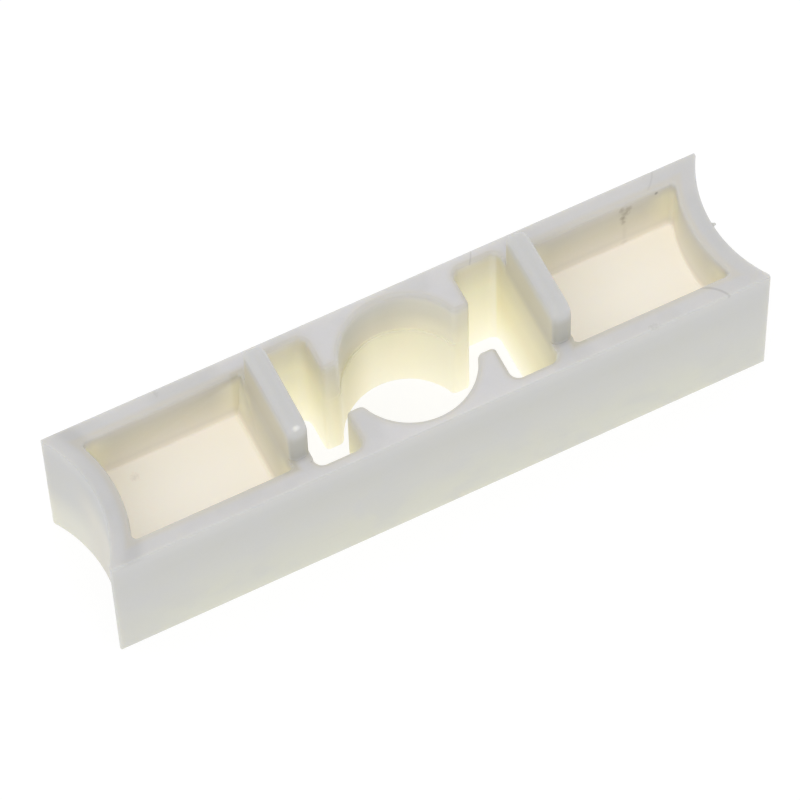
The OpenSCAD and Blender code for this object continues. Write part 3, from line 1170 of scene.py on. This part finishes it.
height = calc(tree, "SUBTRACT", texture["Fine"], product(tree, wear["Lines"], LINE_RELIEF))
bump = tree.nodes.new("ShaderNodeBump")
bump.inputs["Strength"].default_value = 0.25
bump.inputs["Distance"].default_value = 0.03 * MM
tree.links.new(height, bump.inputs["Height"])
tree.links.new(bump.outputs["Normal"], shader.inputs["Normal"])
for socket_name, value in SAME_ALL_OVER.items():
    shader.inputs[socket_name].default_value = value
plastic.cycles.emission_sampling = "NONE"

body.data.materials.clear()
body.data.materials.append(plastic)
print("natural plastic:", len(tree.nodes), "nodes")

# %% [markdown]
# ## Camera
# The block is seen from above and a little from the left, with a long lens, so that
# its edges stay nearly parallel. The camera is set by the direction in which it looks
# and by its distance, which is easier to correct than a position and three angles.

# %% Camera
CAMERA_TARGET = Vector((-1.2, 0.55, 11.75)) * MM
CAMERA_DISTANCE = 758.3 * MM
CAMERA_HEADING = math.radians(24.635)
CAMERA_ELEVATION = math.radians(60.876)
CAMERA_ROLL = math.radians(2.119)
CAMERA_LENS = 247.26

camera = bpy.data.objects.new("camera", bpy.data.cameras.new("camera"))
bpy.context.scene.collection.objects.link(camera)
looks = Vector((
    math.cos(CAMERA_ELEVATION) * math.sin(CAMERA_HEADING),
    math.cos(CAMERA_ELEVATION) * math.cos(CAMERA_HEADING),
    -math.sin(CAMERA_ELEVATION),
))
camera.location = CAMERA_TARGET - looks * CAMERA_DISTANCE
level = looks.to_track_quat("-Z", "Y")
camera.rotation_euler = (level.to_matrix() @ Matrix.Rotation(-CAMERA_ROLL, 3, "Z")).to_euler()
camera.data.lens = CAMERA_LENS
camera.data.sensor_width = 36
bpy.context.scene.camera = camera
print("camera at", [round(c, 3) for c in camera.location])

# %% [markdown]
# ## Light and floor
# The block lies on plain white in even light, with hardly a shadow. An even white
# world gives that light, at a level where a colour renders about as it is written,
# and one large soft lamp adds a faint sheen to the round edges.
# The floor is white all over. It gives off most of its light itself, as a lit table
# does, so that the cut through the block is bright from below, and a small diffuse
# share keeps the shadow of the block. It lies a hair below the base, because two faces
# in one plane would flicker, and its lower side is clear, so that the block can be
# looked at from below as well.

# %% World and lamp
WORLD_LIGHT = 0.945
LAMP_SIZE = 0.9
LAMP_POWER = 0.6
LAMP_PLACE = (-0.5, -0.45, 0.9)

world = bpy.data.worlds.new("studio")
bpy.context.scene.world = world
world.use_nodes = True
world.node_tree.nodes["Background"].inputs["Color"].default_value = (1, 1, 1, 1)
world.node_tree.nodes["Background"].inputs["Strength"].default_value = WORLD_LIGHT

lamp_data = bpy.data.lights.new("soft_lamp", "AREA")
lamp_data.size = LAMP_SIZE
lamp_data.energy = LAMP_POWER
lamp = bpy.data.objects.new("soft_lamp", lamp_data)
lamp.location = LAMP_PLACE
lamp.rotation_euler = (-lamp.location).to_track_quat("-Z", "Y").to_euler()
bpy.context.scene.collection.objects.link(lamp)
print("world light", WORLD_LIGHT, "and a lamp of", LAMP_POWER, "W")

# %% Floor
FLOOR_SIZE = 4
FLOOR_GLOW = 0.8
FLOOR_SHADE = 0.24
FLOOR_GAP = 0.02 * MM

bpy.ops.object.select_all(action="DESELECT")
bpy.ops.mesh.primitive_plane_add(size=FLOOR_SIZE, location=(0, 0, -FLOOR_GAP))
floor = bpy.context.object
floor.name = "floor"

white_table = bpy.data.materials.new("white_table")
white_table.use_nodes = True
floor_tree = white_table.node_tree
floor_tree.nodes.clear()
surface = floor_tree.nodes.new("ShaderNodeOutputMaterial")
shining = floor_tree.nodes.new("ShaderNodeEmission")
shining.inputs["Strength"].default_value = FLOOR_GLOW
plain = floor_tree.nodes.new("ShaderNodeBsdfDiffuse")
plain.inputs["Color"].default_value = (FLOOR_SHADE, FLOOR_SHADE, FLOOR_SHADE, 1)
both = floor_tree.nodes.new("ShaderNodeAddShader")
floor_tree.links.new(shining.outputs[0], both.inputs[0])
floor_tree.links.new(plain.outputs[0], both.inputs[1])

# %% Clear lower side of the floor
side_seen = floor_tree.nodes.new("ShaderNodeNewGeometry")
clear = floor_tree.nodes.new("ShaderNodeBsdfTransparent")
sides = floor_tree.nodes.new("ShaderNodeMixShader")
floor_tree.links.new(side_seen.outputs["Backfacing"], sides.inputs[0])
floor_tree.links.new(both.outputs[0], sides.inputs[1])
floor_tree.links.new(clear.outputs[0], sides.inputs[2])
floor_tree.links.new(sides.outputs[0], surface.inputs["Surface"])
floor.data.materials.append(white_table)
print("floor", FLOOR_SIZE, "m wide, below the base by", mm(FLOOR_GAP))

# %% Colours as they are written
bpy.context.scene.view_settings.view_transform = "Standard"
